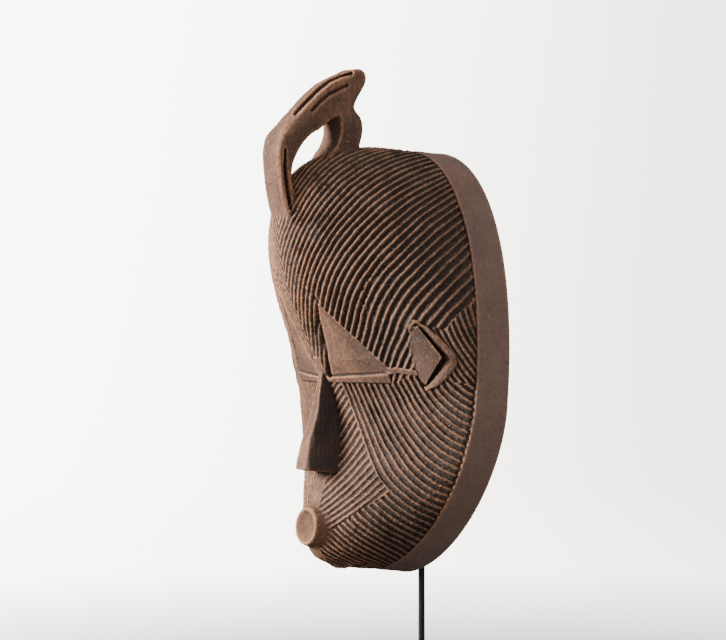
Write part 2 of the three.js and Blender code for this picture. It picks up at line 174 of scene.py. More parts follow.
class Plane:
    """A value kept on a grid in one plane, read between its points."""

    def __init__(self, low, high, size, function):
        self.low, self.size = low, size
        counts = [int((h - l) / size) + 2 for l, h in zip(low, high)]
        u, v = np.meshgrid(*[l + size * np.arange(n) for l, n in zip(low, counts)], indexing="ij")
        self.values = function(u, v)

    def __call__(self, u, v):
        a = np.clip((u - self.low[0]) / self.size, 0, self.values.shape[0] - 1.001)
        b = np.clip((v - self.low[1]) / self.size, 0, self.values.shape[1] - 1.001)
        i, j = a.astype(int), b.astype(int)
        a, b = a - i, b - j
        w = self.values
        lower = w[i, j] * (1 - a) + w[i + 1, j] * a
        upper = w[i, j + 1] * (1 - a) + w[i + 1, j + 1] * a
        return lower * (1 - b) + upper * b


# ---------------------------------------------------------------- tables along the mask's height

Z_TABLE = np.arange(0.0, HEIGHT + 0.5, 1.0)


def half_width(z):
    up = z >= WIDEST
    power = np.where(up, TOP_ROUND, FOOT_ROUND)
    t = np.clip(np.abs(z - WIDEST) / np.where(up, HEIGHT - WIDEST, WIDEST), 0, 1)
    return HALF_WIDTH * (1 - t**power) ** (1 / power)


W_TABLE = np.maximum(half_width(Z_TABLE), 4.0)
R_TABLE = np.maximum(through(FACE_RISE, Z_TABLE)
                     * (1 - np.clip(np.abs(Z_TABLE - HEIGHT / 2) / (HEIGHT / 2), 0, 1) ** 3) ** (1 / 3), 4.0)
N_TABLE = through(FACE_FULLNESS, Z_TABLE)
WD_TABLE, RD_TABLE = np.gradient(W_TABLE), np.gradient(R_TABLE)


def along(table, z):
    return np.interp(z, Z_TABLE, table)


ANGLES = np.linspace(0, math.pi / 2, 121)
ROUND = np.concatenate([
    np.zeros((len(Z_TABLE), 1)),
    np.cumsum(np.hypot(
        np.diff(W_TABLE[:, None] * np.sin(ANGLES) ** (2 / N_TABLE[:, None]), axis=1),
        np.diff(R_TABLE[:, None] * np.cos(ANGLES) ** (2 / N_TABLE[:, None]), axis=1)), axis=1)], axis=1)


def chart(q, e, n, z):
    """Length along the face from its middle line."""
    a = np.arctan2(np.maximum(q, 1e-4) ** (n / 2), np.maximum(e, 0) ** (n / 2)) / ANGLES[1]
    b = np.clip(z, 0, HEIGHT - 0.01)
    i, j = np.clip(a.astype(int), 0, len(ANGLES) - 2), b.astype(int)
    a, b = a - i, b - j
    lower = ROUND[j, i] * (1 - a) + ROUND[j, i + 1] * a
    upper = ROUND[j + 1, i] * (1 - a) + ROUND[j + 1, i + 1] * a
    return lower * (1 - b) + upper * b


# ---------------------------------------------------------------- the carved lines, on the face's surface

# outlines on the face as (s, z): s is the length from its middle line, z the height
LID_TOP, LID_LEFT, LID_RIGHT = (29.5, 232), (8, 171), (79, 178)
EAR_EDGE = [(118, 217), (131, 191), (109.5, 166.5)]
EAR_PLATE = [(113, 216), (119, 217), (131, 191), (109.5, 166.5), (104, 176), (104, 200)]
TEMPLE_RIDGE = [(122, 219), (143, 214), (163, 233), (190, 247)]


def side_of(s, z, a, b):
    """Distance from the line a-b, positive on its right-hand side."""
    length = math.hypot(b[0] - a[0], b[1] - a[1])
    return ((s - a[0]) * (b[1] - a[1]) - (z - a[1]) * (b[0] - a[0])) / length


def line_pattern(s, z, lid_floor):
    """The carved lines: how deep in a groove a point is, from 0 to 1, and the grooves' depth in mm."""
    wob = 0.24 * noise(s, z, 0 * s, 42) + 0.07 * noise(s, z, 0 * s + 40, 13)
    turn, bend = math.radians(63), math.radians(0.14)
    rising = np.log(np.cos(turn - bend * np.clip(s, 0, 200)) / math.cos(turn)) / bend
    crown = 0.013 * np.maximum(0, z - 300) ** 2 * np.maximum(0, 1 - s / 130)
    forehead = 0.110 * (z - rising - crown)
    reach = np.hypot(s - 165, z - 190)
    cheek = 0.152 * reach + 0.00018 * np.maximum(0, reach - 90) ** 2
    fan = 0.62 * z - 0.00925 * np.maximum(0, 88 - z) ** 2 + 0.00007 * np.maximum(0, z - 95) ** 3
    beside_nose = 0.125 * (s - fan)
    temple = 0.178 * np.hypot(s - 250, z - 232)

    jaw = 17 + 0.71 * s
    in_nose = (reach > 148) & (z > jaw) & (z < 166)
    ridge_z = np.interp(s, [p[0] for p in TEMPLE_RIDGE], [p[1] for p in TEMPLE_RIDGE])
    upper = np.where(s > 118, z > ridge_z, z > lid_floor)
    in_temple = (s > 112) & ~upper & (z > 170)
    phase = np.where(upper, forehead, np.where(in_temple, temple, np.where(in_nose, beside_nose, cheek)))
    depth = np.where(upper, 2.9 - 1.4 * step(s, 26, 0), np.where(in_temple, 2.4, np.where(in_nose, 1.8, 2.6)))
    wave = np.sin(math.pi * (phase + wob * np.where(in_nose, 0.5, 1)))
    groove = np.sqrt(wave**2 + 0.03) - 0.17
    return np.clip(groove / 0.84, 0, 1), depth


def relief(s, z):
    """Height of the carving over the plain face in mm, how deep in a groove, slit or gap a point lies from 0
    to 1, which sets the painted shade there, and where lines are.
    """
    lid_floor = np.interp(s, [0, 25, 76, 106, 112, 200], [164, 164.5, 166, 176, 172, 172])
    groove, depth = line_pattern(s, z, lid_floor)
    slit = 169 + 0.085 * s
    left_of_lid = side_of(s, z, LID_LEFT, LID_TOP)
    below_lid = side_of(s, z, LID_TOP, LID_RIGHT)
    in_lid = np.minimum(np.minimum(left_of_lid, below_lid), z - slit)
    strip = np.minimum(z - lid_floor, slit + 0.5 - z)
    strip = np.where((s > 5) & (s < 76), strip, -9)
    tail = 2.3 - np.abs(z - np.interp(s, [70, 84, 108], [174, 178, 176]))
    tail = np.where((s > 68) & (s < 108), tail, -9)
    plate = -polygon_distance(s, z, EAR_PLATE)
    past = line_distance(s, z, EAR_EDGE)
    right = (plate < 0) & (s > 108)
    gap_width = 5.2 * np.sqrt(np.clip(1 - ((z - 191) / 27.5) ** 2, 0, 1))
    gap = np.where(right, gap_width - past, -9)
    rim = np.where(right, np.minimum(past - gap_width, gap_width * 0.6 + 5.0 - (past - gap_width)), -9)
    rim = np.where((z > 160) & (z < 222), rim, -9)
    lip = np.where(z < 90, 9 - s, -9)
    bridge = np.where((z > 160) & (z < 186), 5.5 - s, -9)
    smooth = np.maximum.reduce([in_lid, strip, tail, plate, gap, rim, lip, bridge])
    groove = groove * (1 - step(smooth, -0.8, 0.6))
    weak = 0.82 + 0.25 * noise(s, z, 0 * s + 9, 14)
    height = -depth * weak * groove

    height = height - 1.7 * step(in_lid, -0.4, 1.8) + 1.1 * step(in_lid, 2, 16)
    beside = line_distance(s, z, [(7.5, 170), (15, 190), (29, 236)])
    height = height - 2.6 * np.exp(-(beside / 1.7) ** 2)
    cut = np.exp(-((z - slit) / 1.0) ** 2) * step(s, 6, 8) * (1 - step(s, 70, 77))
    height = height - 2.6 * cut
    under_strip = np.exp(-((z - lid_floor) / 0.8) ** 2) * ((s > 22) & (s < 76))
    height = height + 0.5 * step(strip, 0, 1.5) - 0.8 * under_strip
    height = height + step(plate, 0, 0.8) * (-1.2 + 5.0 * np.clip((s - 104) / 27, 0, 1))
    height = height - 6.5 * step(gap, 0, 1.2)
    height = height + 1.1 * step(rim, 0, 2.5)
    knot = np.exp(-(line_distance(s, z, [(90, 259), (82, 248), (74, 232)]) / 5.5) ** 2)
    height = height - knot * (1.0 + 2.2 * noise(s, z, 0 * s + 70, 3.2))
    # where shade is painted: groove bottoms, the line beside the lid, the eye slits and the gap by the ear
    # plate
    dark = np.clip(groove + 0.9 * np.exp(-(beside / 1.7) ** 2) + cut + step(gap, 0, 1), 0, 1)
    carved = 1 - step(smooth, -0.8, 0.6)
    return height, dark, carved


# ---------------------------------------------------------------- the mask as a field, negative inside

def dome(x, d, z, base, with_relief):
    """The face over its band. base is where the curved part starts."""
    zc = np.clip(z, 0, HEIGHT)
    w, r, n = along(W_TABLE, zc), along(R_TABLE, zc), along(N_TABLE, zc)
    e = np.maximum(d - base, 0) / r
    across = np.maximum(x / w, 1e-3)
    forward = np.maximum(e, 1e-3)
    full = (across**n + forward**n) ** (1 / n)
    scale = full ** (1 - n)
    gx, gd = across ** (n - 1) / w, forward ** (n - 1) / r
    # past the ends the slope is held back, or the distance would shrink there
    gz = (np.minimum(across, 1.3) ** n * along(WD_TABLE, zc) / w
          + np.minimum(forward, 1.3) ** n * along(RD_TABLE, zc) / r)
    face = (full - 1) / (scale * np.sqrt(gx**2 + gd**2 + gz**2) + 1e-6)

    up = z >= WIDEST
    m = np.where(up, TOP_ROUND, FOOT_ROUND)
    rz = np.where(up, HEIGHT - WIDEST, WIDEST)
    qx, qz = np.maximum(x / HALF_WIDTH, 1e-3), np.maximum(np.abs(z - WIDEST) / rz, 1e-3)
    rho = (qx**m + qz**m) ** (1 / m)
    rim = (rho - 1) / (rho ** (1 - m) * np.hypot(qx ** (m - 1) / HALF_WIDTH, qz ** (m - 1) / rz))
    if not with_relief:
        return np.where(d > base, np.maximum(face, rim), rim)
    height, dark, carved = relief(chart(across, e, n, z), z)
    on_face = d > base
    body = np.where(on_face, np.maximum(face - height, rim), rim - FLARE * np.clip(1 - d / BAND, 0, 1))
    # a groove along the band's edge, carved in and painted with shade too
    line = np.exp(-((d - base - 0.7) / 1.0) ** 2)
    dark = np.where(on_face, np.maximum(dark, 0.8 * line), 0)
    return body + 1.1 * line, dark, np.where(on_face, carved, 0)


def nose(x, d, z):
    """A tapering wedge with a flat front, cut off square below."""
    ridge, half, root_half, root = (through(knots, z) for knots in NOSE)
    run, drop = root_half - half, ridge - root
    side = ((x - half) * drop + (d - ridge) * run) / np.hypot(drop, run)
    shape = smooth_max(side, d - ridge, 2.5 + 3.5 * step(z, 150, 95))
    under = NOSE_FOOT + 0.03 * (d - 104) - z
    return smooth_max(smooth_max(shape, under, 2.5), z - NOSE_TOP - 6, 3)


def mouth(x, d, z):
    """A round spout that widens into the chin."""
    r = np.hypot(x, z - MOUTH_Z)
    spout = r - MOUTH_R - 13 * np.clip((MOUTH_DEPTH - d) / 30, 0, 1.4) ** 1.4
    solid = smooth_max(spout, d - MOUTH_DEPTH, 3)
    return np.maximum(solid, 72 - d)


def dish(x, d, z):
    """The shallow hollow in the mouth's front."""
    r = np.hypot(x, z - MOUTH_Z)
    bowl = MOUTH_DEPTH - MOUTH_DISH * 1.5 * (1 - (r / (MOUTH_R - 2.2)) ** 2).clip(-1, 1) - d
    return np.maximum(bowl, r - MOUTH_R + 1.5)


def outline_plane(corners, steps):
    """Signed distance to a closed outline in the side view."""
    curve = closed_curve(corners, steps)
    return Plane((80, 280), (185, 455), 0.5, lambda u, v: polygon_distance(u, v, curve))


CREST_PLANE = outline_plane(CREST, 5)
WINDOW_PLANE = outline_plane(WINDOW, 4)
SLOT_PLANE = Plane((80, 280), (185, 455), 0.5, lambda u, v: line_distance(u, v, SLOT_LINE))
FINGER_PLANE = Plane((70, 280), (185, 455), 0.5, lambda u, v: np.minimum(
    line_distance(u, v, LONG_FINGER), 0.4 + line_distance(u, v, SHORT_FINGER)))


def crest(x, d, z):
    """The fin over the forehead, with its window, the slot in its strap and the grooves near its tip."""
    waist = 1.6 * step(z, 392, 440) + 0.8 * np.exp(-((d - 97) / 8) ** 2)
    rounding = 5 + 9 * step(z, 372, 402) * (1 - step(z, 418, 438))
    fin = smooth_max(CREST_PLANE(d, z), x - CREST_HALF + waist, rounding)
    fin = fin + FINGER_DEPTH * np.exp(-(FINGER_PLANE(d - FINGER_SLANT * x, z) / FINGER_RADIUS) ** 2)
    fin = smooth_max(fin, 0.12 * (x - 10).clip(0, 6) - WINDOW_PLANE(d, z), 2)
    slot = SLOT_RADIUS - 0.7 * step(z, 346, 366) - SLOT_PLANE(d, z)
    return smooth_max(fin, np.minimum(slot, x - (CREST_HALF - SLOT_DEPTH)), 0.8)


def near_only(part, x, d, z, near):
    """A part's field, worked out only near it."""
    shape = np.full(x.shape, 50.0)
    shape[near] = part(x[near], d[near], z[near])
    return shape


def mask_field(p, attributes=False):
    """Distance to the carving at points p, negative in the wood, and what its surface is like there."""
    x, d, z = np.abs(p[:, 0]), p[:, 1], p[:, 2]
    body, dark, carved = dome(x, d, z, BAND, True)
    body = smooth_max(body, -d, 1.6)
    parts = body
    own = np.zeros(x.shape, bool)
    for part, near, blend in ((nose, (z > 60) & (z < 200) & (x < 40) & (d > 60), 1.6),
                              (mouth, (z < 90) & (x < 50) & (d > 60), 4),
                              (crest, (z > 280) & (x < 30) & (d > 80), 3)):
        shape = near_only(part, x, d, z, near)
        parts = smooth_min(parts, shape, blend)
        own |= shape < body
    near = (z < 90) & (x < 20) & (d > 100)
    parts[near] = smooth_max(parts[near], -dish(x[near], d[near], z[near]), 1.2)
    middle = HEIGHT / 2
    xi = x / ((HALF_WIDTH - WALL) / HALF_WIDTH)
    zi = middle + (z - middle) / ((middle - WALL) / middle)
    hollow = dome(xi, d, zi, BAND - WALL, False) * 0.93
    field = smooth_max(parts, -hollow, 1.6)
    if not attributes:
        return field
    inside = -hollow > parts - 0.3
    dark[own | inside] = 0
    carved[own | inside] = 0
    return field, dark, carved, inside.astype(float)


# ---------------------------------------------------------------- field to mesh

def gradient(p, h=0.25):
    """Slope of the field, by central differences."""
    g = np.empty_like(p)
    for axis in range(3):
        o = np.zeros(3)
        o[axis] = h
        g[:, axis] = (mask_field(p + o) - mask_field(p - o)) / (2 * h)
    return g


def enlarged(values, block, shape):
    """Each value repeated over a block of cells, cut to shape."""
    for axis in range(3):
        values = np.repeat(values, block, axis)
    return values[:shape[0], :shape[1], :shape[2]]


def sampled(low, shape):
    """The field on a grid, worked out only near the surface."""
    block = 4
    coarse_shape = [n // block + 2 for n in shape]
    axes = [l + CELL * block * (np.arange(n) + 0.0) for l, n in zip(low, coarse_shape)]
    grid = np.stack(np.meshgrid(*axes, indexing="ij"), -1)
    coarse = mask_field(grid.reshape(-1, 3)).reshape(coarse_shape)
    field = np.ascontiguousarray(enlarged(coarse, block, shape), dtype=np.float32)
    close = np.abs(coarse) < 9 * CELL + 2
    wide = close.copy()
    for axis in range(3):
        moved = np.zeros_like(wide)
        cut = [slice(None)] * 3
        put = [slice(None)] * 3
        cut[axis], put[axis] = slice(1, None), slice(None, -1)
        moved[tuple(put)] = wide[tuple(cut)]
        wide |= moved
    near = enlarged(wide, block, shape)
    at = np.argwhere(near)
    values = np.empty(len(at), np.float32)
    chunk = 400000
    for start in range(0, len(at), chunk):
        part = at[start:start + chunk]
        values[start:start + chunk] = mask_field(np.asarray(low) + CELL * part)
    field[near] = values
    return field


def surface_nets(field, low):
    """Quads of the zero surface of a field, one vertex per crossed cell."""
    inside = field < 0
    count = np.zeros([n - 1 for n in field.shape], np.uint8)
    corners = [(a, b, c) for a in (0, 1) for b in (0, 1) for c in (0, 1)]
    for a, b, c in corners:
        count += inside[a:a + count.shape[0], b:b + count.shape[1], c:c + count.shape[2]]
    active = (count > 0) & (count < 8)
    ids = np.full(active.shape, -1, np.int32)
    cells = np.argwhere(active)
    ids[active] = np.arange(len(cells))
    total, hits = np.zeros((len(cells), 3)), np.zeros(len(cells))
    for a in corners:
        for axis in range(3):
            if a[axis]:
                continue
            b = list(a)
            b[axis] = 1
            va = field[tuple((cells + a).T)]
            vb = field[tuple((cells + b).T)]
            cross = (va < 0) != (vb < 0)
            t = va[cross] / (va[cross] - vb[cross])
            point = np.tile(np.array(a, float), (cross.sum(), 1))
            point[:, axis] = t
            total[cross] += point
            hits[cross] += 1
    vertices = np.asarray(low) + CELL * (cells + total / hits[:, None])
    quads = []
    for axis in range(3):
        u, v = (axis + 1) % 3, (axis + 2) % 3
        first, second = [slice(1, -1)] * 3, [slice(1, -1)] * 3
        first[axis], second[axis] = slice(None, -1), slice(1, None)
        start = inside[tuple(first)]
        cross = start != inside[tuple(second)]
        at = np.argwhere(cross) + [0 if k == axis else 1 for k in range(3)]
        flip = start[cross]
        du, dv = np.eye(3, dtype=int)[u], np.eye(3, dtype=int)[v]
        quad = np.stack([ids[tuple(corner.T)] for corner in (at - du - dv, at - dv, at, at - du)], 1)
        quad[~flip] = quad[~flip][:, ::-1]
        quads.append(quad)
    return vertices, np.concatenate(quads), cells


def mask_mesh():
    """The mask's right half as a mesh, drawn onto the field's surface, and its mirror image."""
    low = (-CELL / 2, -3.0, -5.0)
    shape = (int(138 / CELL) + 3, int(181 / CELL) + 3, int(455 / CELL) + 3)
    vertices, quads, cells = surface_nets(sampled(low, shape), low)
    for _ in range(4):
        value, g = mask_field(vertices), gradient(vertices)
        move = -(value / np.maximum((g**2).sum(1), 0.15))[:, None] * g
        size = np.linalg.norm(move, axis=1, keepdims=True)
        vertices = vertices + move * np.minimum(1, 0.5 * CELL / np.maximum(size, 1e-9))
    middle = cells[:, 0] == 0
    vertices[middle, 0] = 0
    _, dark, carved, hollow = mask_field(vertices, True)
    other = np.arange(len(vertices))
    other[~middle] = len(vertices) + np.arange((~middle).sum())
    mirrored = vertices[~middle] * [-1, 1, 1]
    both = np.concatenate([vertices, mirrored])
    faces = np.concatenate([quads, other[quads][:, ::-1]])
    tags = [np.concatenate([t, t[~middle]]) for t in (dark, carved, hollow)]
    return both, faces, tags


def vertex_normals(vertices, faces):
    a, b, c, d = (vertices[faces[:, k]] for k in range(4))
    face = np.cross(c - a, d - b)
    normals = np.zeros_like(vertices)
    for k in range(4):
        for axis in range(3):
            normals[:, axis] += np.bincount(faces[:, k], face[:, axis], len(vertices))
    return normals / np.maximum(np.linalg.norm(normals, axis=1, keepdims=True), 1e-9)


def neighbour_mean(values, faces, count):
    """Mean of each vertex's neighbours along the faces' edges."""
    total, hits = np.zeros(count), np.zeros(count)
    for k in range(4):
        a, b = faces[:, k], faces[:, (k + 1) % 4]
        total += np.bincount(a, values[b], count) + np.bincount(b, values[a], count)
        hits += np.bincount(a, minlength=count) + np.bincount(b, minlength=count)
    return total / np.maximum(hits, 1)


def to_world(p):
    """From the mask's frame in mm to the scene's in metres."""
    cos, sin = math.cos(LEAN), math.sin(LEAN)
    return np.stack([p[:, 0], FOOT_Y - p[:, 1] * cos + p[:, 2] * sin,
                     FOOT_Z + p[:, 2] * cos + p[:, 1] * sin], 1) * 0.001


def add_mesh(name, vertices, faces, smooth=True):
    mesh = bpy.data.meshes.new(name)
    mesh.vertices.add(len(vertices))
    mesh.vertices.foreach_set("co", np.asarray(vertices, np.float32).ravel())
    mesh.loops.add(faces.size)
    mesh.loops.foreach_set("vertex_index", faces.astype(np.int32).ravel())
    mesh.polygons.add(len(faces))
    mesh.polygons.foreach_set("loop_start", np.arange(0, faces.size, faces.shape[1], dtype=np.int32))
    mesh.update(calc_edges=True)
    mesh.validate()
    mesh.polygons.foreach_set("use_smooth", np.full(len(mesh.polygons), smooth))
    piece = bpy.data.objects.new(name, mesh)
    bpy.context.scene.collection.objects.link(piece)
    return piece


def ring_faces(count, around):
    """Four-sided faces between rings of points that follow one another."""
    ring = np.arange(around)
    ahead = (ring + 1) % around
    return np.concatenate([np.stack([k * around + ring, k * around + ahead, (k + 1) * around + ahead,
                                     (k + 1) * around + ring], 1) for k in range(count - 1)])


def turned(name, rings, middle, axis, corner=None, around=72, uneven=0.0):
    """A piece made of rings (radius, distance along its axis), in mm. A corner makes it a rounded square."""
    turn = np.linspace(0, 2 * math.pi, around, endpoint=False)
    outline = np.ones(around)
    if corner:
        outline = (np.abs(np.cos(turn)) ** corner + np.abs(np.sin(turn)) ** corner) ** (-1 / corner)
    radius = np.repeat([r for r, _ in rings], around) * np.tile(outline, len(rings))
    length = np.repeat([a for _, a in rings], around).astype(float)
    angle = np.tile(turn, len(rings))
    points = np.stack([radius * np.cos(angle), radius * np.sin(angle), length], 1)
    x, y, z = points.T
    points = points + uneven * np.stack([noise(x + shift, y, z, 7) for shift in (0, 40, 80)], 1)
    spin = np.array(Vector((0, 0, 1)).rotation_difference(Vector(axis)).to_matrix())
    piece = add_mesh(name, points @ spin.T / 1000 + np.array(middle), ring_faces(len(rings), around))
    mesh = bmesh.new()
    mesh.from_mesh(piece.data)
    bmesh.ops.remove_doubles(mesh, verts=mesh.verts, dist=1e-6)
    mesh.to_mesh(piece.data)
    mesh.free()
    return piece


def carved_mask():
    """The whole carving, with what its material needs stored at each vertex."""
    vertices, faces, (dark, carved, hollow) = mask_mesh()
    # the two halves aren't exact mirror images: the whole block is a little uneven, and its surface hand-cut
    x, d, z = vertices.T
    for axis, shift in enumerate((0, 50, 90)):
        vertices[:, axis] += 0.55 * noise(x + shift, d, z, 55) * (np.abs(d) > 1)
    normals = vertex_normals(vertices, faces)
    x, d, z = vertices.T
    rough = 0.32 * noise(x, d, z, 13) + 0.20 * noise(x, d, z, 4.5)
    rough = rough + (0.13 + 0.17 * carved) * noise(x, d, z, 2.2)
    adze = hollow * (1.1 * noise(x, d * 1.3, z * 0.7, 16) - 0.4)
    on_nose = step(nose(np.abs(x), d, z), 1.2, 0.4) * (d > 84) * (z < 176)
    # faces of the nose turned to either side, which get painted shade and shallow facets
    nose_side = on_nose * step(np.abs(normals[:, 0]), 0.45, 0.8)
    facet = 4.6
    rough = rough - 0.4 * nose_side * np.abs(np.sin(math.pi * d / facet))
    vertices += normals * ((rough * (1 - 0.3 * hollow) + adze) * step(d, 0.2, 2))[:, None]
    count = len(vertices)
    mean = np.stack([neighbour_mean(vertices[:, k], faces, count) for k in range(3)], 1)
    normals = vertex_normals(vertices, faces)
    # how the surface bends at each vertex: it sets the painted shade where the surface bends inwards, and the
    # ridges' wear and painted highlight
    edge = -((mean - vertices) * normals).sum(1)
    for _ in range(2):
        edge = 0.5 * edge + 0.5 * neighbour_mean(edge, faces, count)
    piece = add_mesh("carved_mask", to_world(vertices), faces)
    band = step(d, BAND + 1, BAND - 1) * (1 - hollow)
    for name, values in (("groove", dark), ("hollow", hollow), ("edge", edge * 4), ("band", band),
                         ("nose_side", nose_side)):
        layer = piece.data.attributes.new(name, "FLOAT", "POINT")
        layer.data.foreach_set("value", values.astype(np.float32))
    return piece


# ---------------------------------------------------------------- materials

class Nodes:
    """A short way to write a material's nodes."""

    def __init__(self, name):
        self.material = bpy.data.materials.new(name)
        self.material.use_nodes = True
        self.tree = self.material.node_tree
        self.shader = self.tree.nodes["Principled BSDF"]
        self.place = self.tree.nodes.new("ShaderNodeTexCoord").outputs["Object"]

    def link(self, value, socket):
        if hasattr(value, "links"):
            self.tree.links.new(value, socket)
        else:
            socket.default_value = value

    def scaled(self, x, y, z):
        node = self.tree.nodes.new("ShaderNodeMapping")
        self.link(self.place, node.inputs["Vector"])
        node.inputs["Scale"].default_value = (x, y, z)
        return node.outputs["Vector"]

    def noise(self, scale, detail=3, rough=0.55, vector=None, distortion=0):
        node = self.tree.nodes.new("ShaderNodeTexNoise")
        self.link(vector or self.place, node.inputs["Vector"])
        node.inputs["Scale"].default_value = scale
        node.inputs["Detail"].default_value = detail
        node.inputs["Roughness"].default_value = rough
        node.inputs["Distortion"].default_value = distortion
        return node.outputs["Fac"]

    def attribute(self, name):
        node = self.tree.nodes.new("ShaderNodeAttribute")
        node.attribute_name = name
        return node.outputs["Fac"]

    def range(self, value, a, b, low=0.0, high=1.0):
        node = self.tree.nodes.new("ShaderNodeMapRange")
        self.link(value, node.inputs["Value"])
        for key, number in (("From Min", a), ("From Max", b), ("To Min", low), ("To Max", high)):
            node.inputs[key].default_value = number
        return node.outputs["Result"]

    def math(self, kind, a, b=0.0):
        node = self.tree.nodes.new("ShaderNodeMath")
        node.operation = kind
        self.link(a, node.inputs[0])
        self.link(b, node.inputs[1])
        return node.outputs["Value"]

    def mix(self, factor, a, b):
        node = self.tree.nodes.new("ShaderNodeMix")
        node.data_type = "RGBA"
        self.link(factor, node.inputs[0])
        self.link(a, node.inputs[6])
        self.link(b, node.inputs[7])
        return node.outputs[2]

    def bump(self, height, distance, strength):
        node = self.tree.nodes.new("ShaderNodeBump")
        self.link(height, node.inputs["Height"])
        node.inputs["Distance"].default_value = distance
        node.inputs["Strength"].default_value = strength
        return node.outputs["Normal"]

    def place_axes(self):
        node = self.tree.nodes.new("ShaderNodeSeparateXYZ")
        self.link(self.place, node.inputs[0])
        return node.outputs

    def finish(self, color, roughness, normal=None, metallic=0.0):
        self.link(color, self.shader.inputs["Base Color"])
        self.link(roughness, self.shader.inputs["Roughness"])
        if normal:
            self.link(normal, self.shader.inputs["Normal"])
        self.shader.inputs["Metallic"].default_value = metallic
        return self.material


def srgb(r, g, b):
    """A colour for a node's socket, from its sRGB values, 0 to 255."""
    linear = [v / 255 / 12.92 if v < 11 else ((v / 255 + 0.055) / 1.055) ** 2.4 for v in (r, g, b)]
    return (*linear, 1.0)


WOOD = {"dark": srgb(94, 64, 47), "light": srgb(134, 93, 69), "patina": srgb(76, 53, 43),
        "stained": srgb(56, 41, 38), "rubbed": srgb(150, 108, 80), "grain": srgb(58, 41, 33),
        "red": srgb(138, 86, 58), "band": srgb(130, 104, 94), "side_shade": srgb(60, 44, 36),
        "groove": srgb(46, 30, 22), "crease_shade": srgb(34, 23, 18), "worn": srgb(186, 132, 96),
        "nose_side_shade": srgb(48, 38, 36), "dust": srgb(208, 158, 118), "hollow": srgb(108, 82, 62)}


def wood_material():
    n = Nodes("carved_wood")
    groove, edge, hollow = n.attribute("groove"), n.attribute("edge"), n.attribute("hollow")
    band, nose_side = n.attribute("band"), n.attribute("nose_side")
    grain = n.noise(1, 6, 0.6, n.scaled(420, 420, 26), 0.4)
    broad = n.noise(9, 4, 0.6)
    patch = n.noise(34, 5, 0.65)
    fine = n.noise(520, 4, 0.7)
    color = n.mix(n.range(broad, 0.36, 0.66), WOOD["dark"], WOOD["light"])
    color = n.mix(n.range(patch, 0.42, 0.66, 0, 0.75), color, WOOD["patina"])
    stain = n.noise(20, 6, 0.7, n.scaled(1, 1, 0.8), 0.6)
    color = n.mix(n.range(stain, 0.52, 0.66, 0, 0.6), color, WOOD["stained"])
    color = n.mix(n.range(stain, 0.46, 0.34, 0, 0.5), color, WOOD["rubbed"])
    color = n.mix(n.range(grain, 0.44, 0.66, 0, 0.55), color, WOOD["grain"])
    red = n.noise(16, 3, 0.5, n.scaled(1, 1, 0.7))
    color = n.mix(n.range(red, 0.5, 0.75, 0, 0.4), color, WOOD["red"])
    color = n.mix(n.math("MULTIPLY", band, n.range(broad, 0.3, 0.6, 0.45, 0.75)), color, WOOD["band"])
    # painted shade: the face is painted darker out towards its left and right edges than in its middle
    shaded_sides = n.range(n.math("ABSOLUTE", n.place_axes()[0]), 0.024, 0.06)
    shaded_sides = n.math("MULTIPLY", shaded_sides, n.range(band, 0, 1, 1, 0))
    color = n.mix(n.math("MULTIPLY", shaded_sides, n.range(patch, 0.3, 0.6, 0.4, 0.75)), color, WOOD["side_shade"])
    # painted shade at the bottom of the grooves, slits and gaps
    deep = n.math("MULTIPLY", n.range(groove, 0.15, 0.8), n.range(fine, 0.25, 0.75, 0.97, 0.75))
    color = n.mix(deep, color, WOOD["groove"])
    # painted shade where the surface bends inwards
    color = n.mix(n.range(edge, -0.02, -0.35, 0, 0.85), color, WOOD["crease_shade"])
    # ridges and convex edges painted lighter: partly wear, partly a painted highlight that sharpens the
    # ridges; less of it where the face is painted with shade
    worn = n.math("MULTIPLY", n.range(edge, 0.03, 0.30), n.range(fine, 0.35, 0.6, 0.1, 0.8))
    worn = n.math("MULTIPLY", worn, n.range(shaded_sides, 0, 1, 1, 0.62))
    color = n.mix(worn, color, WOOD["worn"])
    # painted shade on the sides of the nose, the faces turned to either side
    nose_shade = n.math("MULTIPLY", nose_side, n.range(patch, 0.35, 0.65, 0.75, 0.95))
    color = n.mix(nose_shade, color, WOOD["nose_side_shade"])
    dust = n.math("MULTIPLY", n.range(n.noise(900, 2, 0.5), 0.64, 0.72), n.range(patch, 0.4, 0.6, 0.1, 0.7))
    dust = n.math("MULTIPLY", dust, n.range(n.math("ADD", band, nose_side), 0, 1, 1, 0.3))
    color = n.mix(dust, color, WOOD["dust"])
    color = n.mix(n.range(hollow, 0, 1, 0, 0.3), color, WOOD["hollow"])
    height = n.math("ADD", n.math("MULTIPLY", grain, 0.5), n.math("MULTIPLY", fine, 0.6))
    return n.finish(color, n.range(patch, 0.3, 0.7, 0.72, 0.92), n.bump(height, 0.0009, 0.85))


def steel_material(name, dark, light, metallic, rough):
    n = Nodes(name)
    worn = n.noise(60, 5, 0.6)
    streak = n.noise(1, 4, 0.6, n.scaled(900, 900, 60))
    color = n.mix(n.range(worn, 0.4, 0.75), dark, light)
    color = n.mix(n.range(streak, 0.45, 0.8, 0, 0.4), color, dark)
    rough = n.range(worn, 0.3, 0.7, rough - 0.08, rough + 0.12)
    return n.finish(color, rough, n.bump(streak, 0.00005, 0.5), metallic)


def felt_material():
    n = Nodes("felt")
    fibre = n.noise(1400, 4, 0.75, distortion=1.5)
    cloud = n.noise(70, 3)
    color = n.mix(n.range(fibre, 0.3, 0.7), srgb(22, 23, 25), srgb(66, 68, 70))
    color = n.mix(n.range(cloud, 0.4, 0.7, 0, 0.4), color, srgb(34, 35, 38))
    return n.finish(color, n.range(fibre, 0.3, 0.7, 0.88, 1.0), n.bump(fibre, 0.0004, 0.9))


